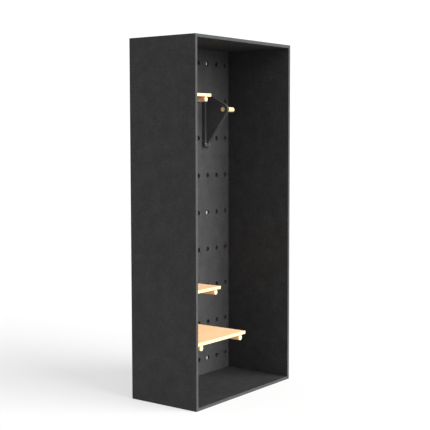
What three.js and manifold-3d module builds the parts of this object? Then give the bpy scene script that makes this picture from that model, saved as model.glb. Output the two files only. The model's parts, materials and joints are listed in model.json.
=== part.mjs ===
// Bicycle wall rack: a tall open-fronted cabinet with a peg panel at its back, loose shelves on
// round wooden pegs, and a bracket whose peg holds a bicycle's raised front wheel.
// Millimetres. +X is right as seen from the open front, +Y points to the wall and +Z up.
// The origin is the centre of the base.

import * as THREE from 'three';
import { mergeVertices } from 'three/addons/utils/BufferGeometryUtils.js';
import Module from 'manifold-3d';

const wasm = await Module();
wasm.setup();

// ---------- driving dimensions ----------

const WIDTH = 955;
const DEPTH = 480;
const HEIGHT = 2100;
const BOARD = 18; // cabinet boards
const PEG_PANEL = 15;
const BACK_SHEET = 3;
const GAP = 0.3; // between pieces that touch
const ROUND_SIDES = 16; // sides of pegs, their holes and the gusset's nose
const SMALL_SIDES = 10; // sides of screws, dowels and fittings, and of their bores
const OVERSHOOT = 1; // how far a through bore's cutter runs past each face
const MERGE_DISTANCE = 1e-4; // vertices nearer than this are one

// peg holes
const PEG_RADIUS = 15;
const PEG_CLEARANCE = 0.3; // all round a peg in its hole
const PEG_CHAMFER = 2;
const COLUMN_PITCH = 94;
const ROW_PITCH = 235;
const FIRST_ROW = 116; // above the floor
const TOP_ROW_MARGIN = 60; // least distance from a row to the ceiling

// shelves
const SHELF_BOARD = 18;
const SHELF_SPAN = 4; // columns between the two pegs of a shelf
const SHELF_WALL_OVERHANG = 34;
const SHELF_FREE_OVERHANG = 50;
const SHELF_WALL_CLEARANCE = 2;
const SHELF_BACK_CLEARANCE = 1;
const SHORT_SHELF_REACH = 206; // from the peg panel to the front edge
const DEEP_SHELF_SETBACK = 5; // behind the cabinet's front

// wheel bracket
const BRACKET_BOARD = 21;
const PLATE_WIDTH = 60;
const PLATE_RIGHT_INSET = 249.5; // from the plate's middle to the right side
const PLATE_RISE = 44; // above the upper shelf's row
const PLATE_DROP = 51; // below the next row down
const GUSSET_FOOT = 14; // bare plate below the gusset
const WHEEL_PEG_REACH = 145; // from the peg panel to the wheel peg's axis
const WHEEL_PEG_DROP = 55; // below the upper shelf's row
const WHEEL_PEG_LENGTH = 105;
const NOSE_WALL = 20; // wood round the wheel peg at the gusset's nose

// screws
const SCREW_SHANK = 2.25;
const SCREW_HEAD = 4.6;
const SCREW_CONE = 2.6;
const SCREW_CLEARANCE = 0.3;
const PLATE_SCREW_INSET = 17; // from the plate's ends
const PLATE_SCREW_SPACING = 36;
const PLATE_SCREW_BITE = 12; // depth in the peg panel
const GUSSET_SCREW_INSET = 75; // from the gusset's ends
const GUSSET_SCREW_BITE = 38;

// wall fixings at the bottom of six peg holes
const WASHER_THICKNESS = 2;
const WASHER_CLEARANCE = 1;
const WALL_SCREW_SHANK = 3;
const WALL_SCREW_HEAD = 5.5;
const WALL_SCREW_CROWN = 3.85; // flat of its rounded head
const WALL_SCREW_HEAD_HEIGHT = 3.5;
const WALL_COLUMN = 2; // counted from the middle, the first being 0

// corner fittings: a bolt in the side board, pulled in by a cam in the top or bottom board
const CAM_RADIUS = 7.5;
const CAM_HEIGHT = 12.5;
const CAM_SETBACK = 24; // from the end of the board to the cam's axis
const BOLT_THREAD = 2.5;
const BOLT_BITE = 11; // depth in the side board
const BOLT_SHAFT = 3.5;
const BOLT_NECK = 2;
const BOLT_NECK_LENGTH = 5;
const BOLT_HEAD_LENGTH = 3;
const CAM_FRONT_INSET = 60;
const CAM_BACK_INSET = 90;
const FITTING_CLEARANCE = 0.3;

// dowels between the peg panel and the sides
const DOWEL_RADIUS = 4;
const DOWEL_BITE_SIDE = 12;
const DOWEL_BITE_PANEL = 16;
const DOWEL_CLEARANCE = 0.3;

// ---------- places worked out from them ----------

const innerHalf = WIDTH / 2 - BOARD;
const front = -DEPTH / 2;
const back = DEPTH / 2;
const sheetFront = back - BACK_SHEET;
const panelBack = sheetFront - GAP;
const panelFront = sheetFront - PEG_PANEL;
const ceiling = HEIGHT - BOARD;
const holeRadius = PEG_RADIUS + PEG_CLEARANCE;

const sideMargin = SHELF_WALL_OVERHANG + SHELF_WALL_CLEARANCE;
// The outermost column is the last one that leaves a shelf its overhang and clearance at the wall.
const columnsPerHalf = Math.floor((innerHalf - sideMargin) / COLUMN_PITCH + 0.5);
const rowCount = Math.floor((ceiling - TOP_ROW_MARGIN - FIRST_ROW) / ROW_PITCH) + 1;

// Columns count from the left wall and rows from the floor, both from 0.
const columnX = (column) => (column - columnsPerHalf + 0.5) * COLUMN_PITCH;
const rowZ = (row) => FIRST_ROW + row * ROW_PITCH;

const upperRow = rowCount - 2;
const plateX = innerHalf - PLATE_RIGHT_INSET;
const plateTop = rowZ(upperRow) + PLATE_RISE;
const plateBottom = rowZ(upperRow - 1) - PLATE_DROP;
const plateBack = panelFront - GAP;
const plateFront = plateBack - BRACKET_BOARD;
const gussetBack = plateFront - GAP;
const gussetLeft = plateX - BRACKET_BOARD / 2;
const wheelPegY = panelFront - WHEEL_PEG_REACH;
const wheelPegZ = rowZ(upperRow) - WHEEL_PEG_DROP;

const shelves = [
  { name: 'upper', row: upperRow, column: 0, reach: SHORT_SHELF_REACH },
  { name: 'middle', row: 2, column: 1, reach: SHORT_SHELF_REACH },
  { name: 'lower', row: 1, column: 0, reach: panelFront - front - DEEP_SHELF_SETBACK },
];

// ---------- materials ----------

const finish = (color, roughness, metalness) =>
  new THREE.MeshStandardMaterial({ color, roughness, metalness });

const blackBoard = finish(0x2b2b2c, 0.8, 0);
const greyBoard = finish(0x3c3c3d, 0.8, 0);
const paleWood = finish(0xe9c79a, 0.6, 0);
const dowelWood = finish(0xdcb98a, 0.7, 0);
const zinc = finish(0xb8bcc0, 0.35, 1);

// ---------- solids ----------

// A three.js geometry as a solid that can be cut and joined.
function toSolid(geometry) {
  const bare = geometry.clone();
  bare.deleteAttribute('normal');
  bare.deleteAttribute('uv');
  const merged = mergeVertices(bare, MERGE_DISTANCE);
  return new wasm.Manifold(
    new wasm.Mesh({
      numProp: 3,
      vertProperties: new Float32Array(merged.attributes.position.array),
      triVerts: new Uint32Array(merged.index.array),
    }),
  );
}

// A solid back as a three.js geometry.
function toGeometry(solid) {
  const mesh = solid.getMesh();
  const geometry = new THREE.BufferGeometry();
  geometry.setAttribute('position', new THREE.BufferAttribute(mesh.vertProperties, 3));
  geometry.setIndex(new THREE.BufferAttribute(mesh.triVerts, 1));
  return geometry;
}

// A geometry with others cut out of it.
function cut(geometry, cutters) {
  let solid = toSolid(geometry);
  for (const cutter of cutters) {
    solid = solid.subtract(toSolid(cutter));
  }
  const result = toGeometry(solid).toNonIndexed();
  result.computeVertexNormals();
  return result;
}

// A box between two corners.
function block([x0, y0, z0], [x1, y1, z1]) {
  const box = new THREE.BoxGeometry(x1 - x0, y1 - y0, z1 - z0);
  return box.translate((x0 + x1) / 2, (y0 + y1) / 2, (z0 + z1) / 2);
}

// A body of revolution whose axis starts at a point and runs along a direction.
// Its profile is a list of [radius, distance along the axis], from end to end.
function turned(profile, start, direction, sides = SMALL_SIDES) {
  const points = profile.map(([radius, along]) => new THREE.Vector2(radius, along));
  const lathe = new THREE.LatheGeometry(points, sides);
  const up = new THREE.Vector3(0, 1, 0);
  const turn = new THREE.Quaternion().setFromUnitVectors(up, new THREE.Vector3(...direction));
  return lathe.applyQuaternion(turn).translate(...start);
}

// A plain round rod between two distances along an axis.
function rod(radius, start, direction, length, sides = SMALL_SIDES) {
  return turned([[0, 0], [radius, 0], [radius, length], [0, length]], start, direction, sides);
}

// A peg with chamfered ends.
function pegSolid(start, direction, length) {
  const rim = PEG_RADIUS - PEG_CHAMFER;
  const profile = [
    [0, 0],
    [rim, 0],
    [PEG_RADIUS, PEG_CHAMFER],
    [PEG_RADIUS, length - PEG_CHAMFER],
    [rim, length],
    [0, length],
  ];
  return turned(profile, start, direction, ROUND_SIDES);
}

// A countersunk screw, its head's face at the start. Grown by a clearance, it is its own bore.
function woodScrew(start, direction, length, clearance = 0) {
  const head = SCREW_HEAD + clearance;
  const shank = SCREW_SHANK + clearance;
  const profile = [
    [0, 0],
    [head, 0],
    [head, clearance],
    [shank, SCREW_CONE + clearance],
    [shank, length + clearance],
    [0, length + clearance],
  ];
  return turned(profile, start, direction);
}

// ---------- the scene graph ----------

const rack = new THREE.Group();

function add(name, geometry, material) {
  const mesh = new THREE.Mesh(geometry, material);
  mesh.name = name;
  rack.add(mesh);
}

// ---------- corner fittings ----------

const cornerSides = [
  { name: 'left', side: -1 },
  { name: 'right', side: 1 },
];
const cornerLevels = [
  { name: 'top', outer: HEIGHT, inward: -1 },
  { name: 'bottom', outer: 0, inward: 1 },
];
const cornerPlaces = [
  { name: 'front', y: front + CAM_FRONT_INSET },
  { name: 'back', y: back - CAM_BACK_INSET },
];

const boltLength = BOLT_BITE + GAP + CAM_SETBACK + BOLT_HEAD_LENGTH / 2;

// The bolt's profile from its thread's tip to its head, or the same grown into a bore.
function boltProfile(clearance) {
  const threadEnd = BOLT_BITE;
  const headStart = boltLength - BOLT_HEAD_LENGTH;
  const neckStart = headStart - BOLT_NECK_LENGTH;
  const neck = clearance > 0 ? BOLT_SHAFT + clearance : BOLT_NECK;
  return [
    [0, -clearance],
    [BOLT_THREAD + clearance, -clearance],
    [BOLT_THREAD + clearance, threadEnd],
    [BOLT_SHAFT + clearance, threadEnd],
    [BOLT_SHAFT + clearance, neckStart],
    [neck, neckStart],
    [neck, headStart],
    [BOLT_SHAFT + clearance, headStart],
    [BOLT_SHAFT + clearance, boltLength + clearance],
    [0, boltLength + clearance],
  ];
}

// Every fitting: where its bolt starts and runs, and its cam and cam bore.
const fittings = [];
for (const level of cornerLevels) {
  for (const { name, side } of cornerSides) {
    for (const place of cornerPlaces) {
      const axisZ = level.outer + (level.inward * BOARD) / 2;
      const start = [side * (innerHalf + BOLT_BITE), place.y, axisZ];
      const camX = side * (innerHalf - GAP - CAM_SETBACK);
      fittings.push({
        name: `${level.name}_${name}_${place.name}`,
        level,
        side,
        start,
        run: [-side, 0, 0],
        camStart: [camX, place.y, level.outer],
        camRun: [0, 0, level.inward],
      });
    }
  }
}

const boltBore = (fitting) =>
  turned(boltProfile(FITTING_CLEARANCE), fitting.start, fitting.run);

const camBore = (fitting) =>
  rod(CAM_RADIUS + FITTING_CLEARANCE, fitting.camStart, fitting.camRun, CAM_HEIGHT + GAP);

for (const fitting of fittings) {
  const cam = rod(CAM_RADIUS, fitting.camStart, fitting.camRun, CAM_HEIGHT);
  add(`cam_bolt_${fitting.name}`, turned(boltProfile(0), fitting.start, fitting.run), zinc);
  add(`cam_${fitting.name}`, cut(cam, [boltBore(fitting)]), zinc);
}

// ---------- peg-panel dowels ----------

const dowelRows = [
  { name: 'low', z: rowZ(1) + ROW_PITCH / 2 },
  { name: 'high', z: rowZ(rowCount - 3) + ROW_PITCH / 2 },
];
const dowelY = (panelFront + panelBack) / 2;
const dowelLength = DOWEL_BITE_SIDE + GAP + DOWEL_BITE_PANEL;

// A dowel across the joint of one side and the peg panel, or its bore.
function dowel(side, z, clearance = 0) {
  const start = [side * (innerHalf + DOWEL_BITE_SIDE + clearance), dowelY, z];
  return rod(DOWEL_RADIUS + clearance, start, [-side, 0, 0], dowelLength + 2 * clearance);
}

for (const { name, side } of cornerSides) {
  for (const row of dowelRows) {
    add(`panel_dowel_${name}_${row.name}`, dowel(side, row.z), dowelWood);
  }
}

// ---------- cabinet boards ----------

for (const { name, side } of cornerSides) {
  const near = Math.min(side * innerHalf, (side * WIDTH) / 2);
  const board = block([near, front, 0], [near + BOARD, back, HEIGHT]);
  const bores = fittings.filter((fitting) => fitting.side === side).map(boltBore);
  const dowels = dowelRows.map((row) => dowel(side, row.z, DOWEL_CLEARANCE));
  add(`side_${name}`, cut(board, [...bores, ...dowels]), blackBoard);
}

for (const level of cornerLevels) {
  const low = Math.min(level.outer, level.outer + level.inward * BOARD);
  const end = innerHalf - GAP;
  const board = block([-end, front, low], [end, back, low + BOARD]);
  const own = fittings.filter((fitting) => fitting.level === level);
  const bores = [...own.map(boltBore), ...own.map(camBore)];
  add(`${level.name}_board`, cut(board, bores), blackBoard);
}

// ---------- wall fixings ----------

const wallColumns = [
  { name: 'left', x: columnX(columnsPerHalf - 1 - WALL_COLUMN) },
  { name: 'right', x: columnX(columnsPerHalf + WALL_COLUMN) },
];
const wallRows = [
  { name: 'low', z: rowZ(0) },
  { name: 'mid', z: rowZ(Math.floor((rowCount - 1) / 2)) },
  { name: 'high', z: rowZ(rowCount - 1) },
];
const washerBack = sheetFront - GAP;
const washerFront = washerBack - WASHER_THICKNESS;
const washerBore = WALL_SCREW_SHANK + SCREW_CLEARANCE;
const sheetBores = [];

for (const column of wallColumns) {
  for (const row of wallRows) {
    const name = `${column.name}_${row.name}`;
    const towardsWall = [0, 1, 0];
    const washerStart = [column.x, washerFront, row.z];
    const washerProfile = [
      [washerBore, 0],
      [holeRadius - WASHER_CLEARANCE, 0],
      [holeRadius - WASHER_CLEARANCE, WASHER_THICKNESS],
      [washerBore, WASHER_THICKNESS],
      [washerBore, 0],
    ];
    const headFront = washerFront - GAP - WALL_SCREW_HEAD_HEIGHT;
    const screwProfile = [
      [0, 0],
      [WALL_SCREW_CROWN, 0],
      [WALL_SCREW_HEAD, WALL_SCREW_HEAD_HEIGHT / 2],
      [WALL_SCREW_HEAD, WALL_SCREW_HEAD_HEIGHT],
      [WALL_SCREW_SHANK, WALL_SCREW_HEAD_HEIGHT],
      [WALL_SCREW_SHANK, back - headFront],
      [0, back - headFront],
    ];
    add(
      `wall_washer_${name}`,
      turned(washerProfile, washerStart, towardsWall, ROUND_SIDES),
      zinc,
    );
    add(
      `wall_screw_${name}`,
      turned(screwProfile, [column.x, headFront, row.z], towardsWall),
      zinc,
    );
    sheetBores.push(
      rod(
        washerBore,
        [column.x, sheetFront - OVERSHOOT, row.z],
        towardsWall,
        BACK_SHEET + 2 * OVERSHOOT,
      ),
    );
  }
}

// ---------- back sheet ----------

const backSheet = block(
  [-innerHalf + GAP, sheetFront, BOARD + GAP],
  [innerHalf - GAP, back, ceiling - GAP],
);
add('back_sheet', cut(backSheet, sheetBores), blackBoard);

// ---------- wheel bracket ----------

const plateScrewHeights = [plateBottom + PLATE_SCREW_INSET, plateTop - PLATE_SCREW_INSET];
const plateScrewLength = BRACKET_BOARD + GAP + PLATE_SCREW_BITE;
const plateScrews = [];
for (const [level, z] of plateScrewHeights.entries()) {
  for (const { name, side } of cornerSides) {
    const x = plateX + (side * PLATE_SCREW_SPACING) / 2;
    plateScrews.push({ name: `${name}_${['low', 'high'][level]}`, start: [x, plateFront, z] });
  }
}
const plateScrew = (screw, clearance) =>
  woodScrew(screw.start, [0, 1, 0], plateScrewLength, clearance);

const gussetBottom = plateBottom + GUSSET_FOOT;
const gussetScrewHeights = [gussetBottom + GUSSET_SCREW_INSET, plateTop - GUSSET_SCREW_INSET];
const gussetScrewLength = BRACKET_BOARD + GAP + GUSSET_SCREW_BITE;
const gussetScrew = (z, clearance) =>
  woodScrew([plateX, plateBack, z], [0, -1, 0], gussetScrewLength, clearance);

for (const screw of plateScrews) {
  add(`plate_screw_${screw.name}`, plateScrew(screw, 0), zinc);
}
for (const [index, z] of gussetScrewHeights.entries()) {
  add(`gusset_screw_${['low', 'high'][index]}`, gussetScrew(z, 0), zinc);
}

const plate = block(
  [plateX - PLATE_WIDTH / 2, plateFront, plateBottom],
  [plateX + PLATE_WIDTH / 2, plateBack, plateTop],
);
const plateBores = [
  ...plateScrews.map((screw) => plateScrew(screw, SCREW_CLEARANCE)),
  ...gussetScrewHeights.map((z) => gussetScrew(z, SCREW_CLEARANCE)),
];
add('bracket_plate', cut(plate, plateBores), greyBoard);

// The gusset's outline runs in (distance out from its back edge, height): a straight back edge,
// and two straight edges that meet the round nose without a corner.
const noseRadius = PEG_RADIUS + NOSE_WALL;
const nose = new THREE.Vector2(gussetBack - wheelPegY, wheelPegZ);

// The angle at which a line from a point touches the nose, on its upper (+1) or lower (-1) side.
function touchAngle(point, hand) {
  const toPoint = point.clone().sub(nose);
  return toPoint.angle() - hand * Math.acos(noseRadius / toPoint.length());
}

const gussetTopCorner = new THREE.Vector2(0, plateTop);
const gussetLowCorner = new THREE.Vector2(0, gussetBottom);
const gussetShape = new THREE.Shape();
gussetShape.moveTo(gussetTopCorner.x, gussetTopCorner.y);
gussetShape.lineTo(gussetLowCorner.x, gussetLowCorner.y);
gussetShape.absarc(
  nose.x,
  nose.y,
  noseRadius,
  touchAngle(gussetLowCorner, -1) - 2 * Math.PI,
  touchAngle(gussetTopCorner, 1),
  false,
);
gussetShape.closePath();

const gusset = new THREE.ExtrudeGeometry(gussetShape, {
  depth: BRACKET_BOARD,
  bevelEnabled: false,
  curveSegments: ROUND_SIDES / 2,
});
// (out, height, thickness) to (X, Y, Z)
gusset.applyMatrix4(
  new THREE.Matrix4().set(
    0, 0, -1, gussetLeft + BRACKET_BOARD,
    -1, 0, 0, gussetBack,
    0, 1, 0, 0,
    0, 0, 0, 1,
  ),
);
const wheelPegBore = rod(
  holeRadius,
  [gussetLeft - OVERSHOOT, wheelPegY, wheelPegZ],
  [1, 0, 0],
  BRACKET_BOARD + 2 * OVERSHOOT,
  ROUND_SIDES,
);
const gussetBores = gussetScrewHeights.map((z) => gussetScrew(z, SCREW_CLEARANCE));
add('bracket_gusset', cut(gusset, [wheelPegBore, ...gussetBores]), greyBoard);

add(
  'wheel_peg',
  pegSolid([gussetLeft, wheelPegY, wheelPegZ], [1, 0, 0], WHEEL_PEG_LENGTH),
  paleWood,
);

// ---------- peg panel ----------

const panelShape = new THREE.Shape();
const panelHalf = innerHalf - GAP;
panelShape.moveTo(-panelHalf, BOARD + GAP);
panelShape.lineTo(panelHalf, BOARD + GAP);
panelShape.lineTo(panelHalf, ceiling - GAP);
panelShape.lineTo(-panelHalf, ceiling - GAP);
panelShape.closePath();
for (let column = 0; column < 2 * columnsPerHalf; column += 1) {
  for (let row = 0; row < rowCount; row += 1) {
    const hole = new THREE.Path();
    hole.absarc(columnX(column), rowZ(row), holeRadius, 0, 2 * Math.PI, true);
    panelShape.holes.push(hole);
  }
}
const pegPanel = new THREE.ExtrudeGeometry(panelShape, {
  depth: panelBack - panelFront,
  bevelEnabled: false,
  curveSegments: ROUND_SIDES / 2,
});
pegPanel.rotateX(Math.PI / 2);
pegPanel.translate(0, panelBack, 0);
const panelBores = [
  ...plateScrews.map((screw) => plateScrew(screw, SCREW_CLEARANCE)),
  ...cornerSides.flatMap(({ side }) =>
    dowelRows.map((row) => dowel(side, row.z, DOWEL_CLEARANCE)),
  ),
];
add('peg_panel', cut(pegPanel, panelBores), greyBoard);

// ---------- shelves and their pegs ----------

for (const shelf of shelves) {
  const left = columnX(shelf.column);
  const right = columnX(shelf.column + SHELF_SPAN);
  const z = rowZ(shelf.row);
  const shelfFront = panelFront - shelf.reach;
  const underside = z + PEG_RADIUS + GAP;
  for (const [name, x] of [['left', left], ['right', right]]) {
    const length = panelBack - shelfFront;
    add(`${shelf.name}_peg_${name}`, pegSolid([x, shelfFront, z], [0, 1, 0], length), paleWood);
  }
  const board = block(
    [left - SHELF_WALL_OVERHANG, shelfFront, underside],
    [right + SHELF_FREE_OVERHANG, panelFront - SHELF_BACK_CLEARANCE, underside + SHELF_BOARD],
  );
  add(`${shelf.name}_shelf`, board, paleWood);
}

export default rack;
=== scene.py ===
"""Bicycle wall rack: finished boards, shelves, pegs and fittings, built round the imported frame.

Metres. +X is right as seen from the open front, +Y points to the wall and +Z up.
"""

import json
import math

import bmesh
import bpy
from mathutils import Euler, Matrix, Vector


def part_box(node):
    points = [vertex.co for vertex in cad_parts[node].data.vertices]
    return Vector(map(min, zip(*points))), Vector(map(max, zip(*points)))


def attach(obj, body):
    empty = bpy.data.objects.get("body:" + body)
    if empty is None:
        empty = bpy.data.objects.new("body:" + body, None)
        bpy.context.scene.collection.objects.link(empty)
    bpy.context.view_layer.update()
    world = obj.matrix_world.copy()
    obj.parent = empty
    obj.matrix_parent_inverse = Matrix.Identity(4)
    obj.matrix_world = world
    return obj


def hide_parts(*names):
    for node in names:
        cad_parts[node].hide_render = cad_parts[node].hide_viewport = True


bl_info = {
    "name": "Bicycle wall rack",
    "version": (1, 0, 0),
    "blender": (4, 5, 0),
    "location": "View3D > Sidebar > Rack",
    "description": "Builds the finished boards, shelves, pegs and fittings of a bicycle wall rack",
    "category": "Object",
}

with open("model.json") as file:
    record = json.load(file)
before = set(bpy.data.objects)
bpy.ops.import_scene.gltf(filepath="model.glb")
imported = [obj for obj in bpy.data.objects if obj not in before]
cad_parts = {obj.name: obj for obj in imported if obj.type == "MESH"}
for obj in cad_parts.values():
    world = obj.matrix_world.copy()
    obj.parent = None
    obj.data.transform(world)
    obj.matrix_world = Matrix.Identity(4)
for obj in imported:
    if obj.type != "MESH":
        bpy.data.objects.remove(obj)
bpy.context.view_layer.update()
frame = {"record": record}

MM = 0.001
HANDS = ("left", "right")
LEVELS = ("top", "bottom")
PLACES = ("front", "back")
SHELVES = ("upper", "middle", "lower")
WALL_ROWS = ("low", "mid", "high")
HEIGHTS = ("low", "high")
AXES = (Vector((1, 0, 0)), Vector((0, 1, 0)), Vector((0, 0, 1)))
BODY_OF = {
    node: body
    for body, nodes in frame["record"]["behaviour"]["bodies"].items()
    for node in nodes
}


# ---------- places read from the frame ----------


def middle(node):
    """The middle of a CAD node's box."""
    low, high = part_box(node)
    return (low + high) / 2


def reach(node):
    """The three sides of a CAD node's box."""
    low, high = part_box(node)
    return high - low


SHELF_COLUMNS = 4  # hole columns between the two pegs of a shelf
COLUMN_PITCH = (middle("lower_peg_right").x - middle("lower_peg_left").x) / SHELF_COLUMNS
ROW_PITCH = middle("middle_peg_left").z - middle("lower_peg_left").z
PEG_RADIUS = reach("wheel_peg").z / 2


# ---------- sizes and colours a user would change ----------


class RackBoardSettings(bpy.types.PropertyGroup):
    """Dyed fibreboard of the cabinet and the wheel bracket"""

    arris: bpy.props.FloatProperty(
        name="Eased arris",
        description="How far the long edges of the boards are rounded",
        default=0.9 * MM,
        min=0.1 * MM,
        unit="LENGTH",
    )
    peg_hole_flare: bpy.props.FloatProperty(
        name="Peg hole chamfer",
        description="Chamfer round the mouth of each peg hole",
        default=0.9 * MM,
        min=0.1 * MM,
        unit="LENGTH",
    )
    bore_flare: bpy.props.FloatProperty(
        name="Fitting bore chamfer",
        description="Chamfer round the bores of the corner fittings",
        default=0.3 * MM,
        min=0.05 * MM,
        unit="LENGTH",
    )
    clearance: bpy.props.FloatProperty(
        name="Bore clearance",
        description="Room all round a peg, dowel, cam, bolt or screw in its bore",
        default=0.3 * MM,
        min=0.05 * MM,
        unit="LENGTH",
    )
    columns: bpy.props.IntProperty(
        name="Peg columns", description="Columns of peg holes in the panel", default=10, min=2
    )
    rows: bpy.props.IntProperty(
        name="Peg rows", description="Rows of peg holes in the panel", default=9, min=2
    )
    face_colour: bpy.props.FloatVectorProperty(
        name="Face",
        description="Pressed face of the dyed board",
        default=(0.0225, 0.0225, 0.0232),
        min=0,
        max=1,
        subtype="COLOR",
    )
    edge_colour: bpy.props.FloatVectorProperty(
        name="Sawn edge",
        description="Sawn and sanded edge of the dyed board",
        default=(0.041, 0.042, 0.043),
        min=0,
        max=1,
        subtype="COLOR",
    )
    # Painted light: the gusset's face is lighter than the same board elsewhere, to stand in for
    # light from the front left.
    gusset_painted_light_colour: bpy.props.FloatVectorProperty(
        name="Gusset",
        description="Sanded face of the wheel bracket's gusset",
        default=(0.046, 0.046, 0.047),
        min=0,
        max=1,
        subtype="COLOR",
    )
    panel_colour: bpy.props.FloatVectorProperty(
        name="Peg panel",
        description="Face of the peg panel and of the bracket's wall plate",
        default=(0.030, 0.030, 0.031),
        min=0,
        max=1,
        subtype="COLOR",
    )


class RackWoodSettings(bpy.types.PropertyGroup):
    """Pale solid wood of the shelves and pegs"""

    shelf_arris: bpy.props.FloatProperty(
        name="Shelf arris",
        description="How far the edges of a shelf are rounded",
        default=1.6 * MM,
        min=0.1 * MM,
        unit="LENGTH",
    )
    peg_rounding: bpy.props.FloatProperty(
        name="Peg end rounding",
        description="How far the ends of a peg are rounded",
        default=2 * MM,
        min=0.1 * MM,
        unit="LENGTH",
    )
    stave_width: bpy.props.FloatProperty(
        name="Stave width",
        description="Width of the staves that a shelf is glued up from",
        default=52 * MM,
        min=10 * MM,
        unit="LENGTH",
    )
    ring_width: bpy.props.FloatProperty(
        name="Growth ring",
        description="Distance from one growth ring to the next",
        default=3.1 * MM,
        min=0.5 * MM,
        unit="LENGTH",
    )
    early_colour: bpy.props.FloatVectorProperty(
        name="Early wood",
        description="Light part of a growth ring",
        default=(0.88, 0.585, 0.33),
        min=0,
        max=1,
        subtype="COLOR",
    )
    late_colour: bpy.props.FloatVectorProperty(
        name="Late wood",
        description="Dark part of a growth ring",
        default=(0.72, 0.45, 0.235),
        min=0,
        max=1,
        subtype="COLOR",
    )
    dowel_flutes: bpy.props.IntProperty(
        name="Dowel flutes", description="Glue flutes round a joint dowel", default=18, min=6
    )


class RackFittingSettings(bpy.types.PropertyGroup):
    """Zinc-plated screws, washers, cams and bolts"""

    thread_pitch: bpy.props.FloatProperty(
        name="Thread pitch",
        description="Distance from one turn of a wood screw's thread to the next",
        default=2.2 * MM,
        min=0.5 * MM,
        unit="LENGTH",
    )
    thread_depth: bpy.props.FloatProperty(
        name="Thread depth",
        description="Height of a screw thread above its core",
        default=0.7 * MM,
        min=0.1 * MM,
        unit="LENGTH",
    )
    recess_blade: bpy.props.FloatProperty(
        name="Cross recess blade",
        description="Thickness of one blade of a cross recess",
        default=1.1 * MM,
        min=0.2 * MM,
        unit="LENGTH",
    )
    screw_colour: bpy.props.FloatVectorProperty(
        name="Bracket screws",
        description="Dull grey steel of the bracket's screws",
        default=(0.24, 0.24, 0.25),
        min=0,
        max=1,
        subtype="COLOR",
    )
    zinc_colour: bpy.props.FloatVectorProperty(
        name="Zinc",
        description="Bright zinc plate",
        default=(0.60, 0.61, 0.63),
        min=0,
        max=1,
        subtype="COLOR",
    )


class RackStageSettings(bpy.types.PropertyGroup):
    """Pale floor, soft light and camera"""

    floor_size: bpy.props.FloatProperty(
        name="Floor size", description="Side of the square floor", default=80, unit="LENGTH"
    )
    floor_colour: bpy.props.FloatVectorProperty(
        name="Floor", description="Pale floor", default=(0.26, 0.26, 0.26), subtype="COLOR"
    )
    floor_glow: bpy.props.FloatProperty(
        name="Floor glow", description="Light that the floor gives of its own", default=0.60
    )
    sky_light: bpy.props.FloatProperty(
        name="Sky light", description="Brightness of the light from all round", default=0.5
    )
    backdrop: bpy.props.FloatProperty(
        name="Backdrop", description="Brightness of the plain backdrop", default=1.05
    )
    key_light: bpy.props.FloatProperty(
        name="Key light", description="Strength of the large soft light in front", default=7.0
    )
    key_softness: bpy.props.FloatProperty(
        name="Key softness",
        description="Width of the soft light as an angle",
        default=math.radians(58),
        subtype="ANGLE",
    )
    key_azimuth: bpy.props.FloatProperty(
        name="Key azimuth",
        description="How far right of straight ahead the soft light stands",
        default=math.radians(14),
        subtype="ANGLE",
    )
    key_elevation: bpy.props.FloatProperty(
        name="Key elevation",
        description="Height of the soft light above the horizon",
        default=math.radians(27),
        subtype="ANGLE",
    )
    fill_light: bpy.props.FloatProperty(
        name="Fill light", description="Strength of the weak soft light from the left", default=0.8
    )
    fill_azimuth: bpy.props.FloatProperty(
        name="Fill azimuth",
        description="How far left of straight ahead the fill light stands",
        default=math.radians(56),
        subtype="ANGLE",
    )
    camera_place: bpy.props.FloatVectorProperty(
        name="Camera place",
        description="Where the camera stands",
        default=(-4.7599, -3.5933, 1.5488),
        subtype="TRANSLATION",
        unit="LENGTH",
    )
    camera_heading: bpy.props.FloatProperty(
        name="Camera heading",
        description="Turn of the view from straight ahead towards the right",
        default=math.radians(53.056),
        subtype="ANGLE",
    )
    camera_dip: bpy.props.FloatProperty(
        name="Camera dip",
        description="How far the view looks down",
        default=math.radians(4.635),
        subtype="ANGLE",
    )
    camera_roll: bpy.props.FloatProperty(
        name="Camera roll",
        description="Turn of the picture about the line of sight",
        default=math.radians(0.103),
        subtype="ANGLE",
    )
    camera_lens: bpy.props.FloatProperty(
        name="Camera lens", description="Focal length on a 36 mm sensor", default=82.87
    )


# ---------- bench work: making, picking, cutting and placing meshes ----------


def choose(*pieces):
    """Selects these objects only, the first one active."""
    bpy.ops.object.select_all(action="DESELECT")
    for piece in pieces:
        piece.select_set(True)
    bpy.context.view_layer.objects.active = pieces[0]


def take_name(name):
    """Names the object that was just added, bakes its place into its mesh, and returns it."""
    piece = bpy.context.active_object
    piece.name = name
    piece.data.name = name
    choose(piece)
    bpy.ops.object.transform_apply(location=True, rotation=True, scale=True)
    return piece


def block(name, low, high):
    """A block between two corners."""
    bpy.ops.object.select_all(action="DESELECT")
    bpy.ops.mesh.primitive_cube_add(size=1, location=(low + high) / 2, scale=high - low)
    return take_name(name)


def pick(piece, kind, test):
    """In edit mode, selects the vertices, edges or faces whose test is true."""
    bpy.ops.mesh.select_mode(type=kind)
    bpy.ops.mesh.select_all(action="DESELECT")
    mesh = bmesh.from_edit_mesh(piece.data)
    elements = {"VERT": mesh.verts, "EDGE": mesh.edges, "FACE": mesh.faces}[kind]
    for element in elements:
        if test(element):
            element.select_set(True)
    mesh.select_flush_mode()
    bmesh.update_edit_mesh(piece.data)


def ease(piece, width, segments=3, test=lambda edge: True):
    """Rounds the edges of a piece that pass a test."""
    choose(piece)
    bpy.ops.object.mode_set(mode="EDIT")
    pick(piece, "EDGE", test)
    bpy.ops.mesh.bevel(offset=width, segments=segments, profile=0.5, affect="EDGES")
    bpy.ops.object.mode_set(mode="OBJECT")


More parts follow.
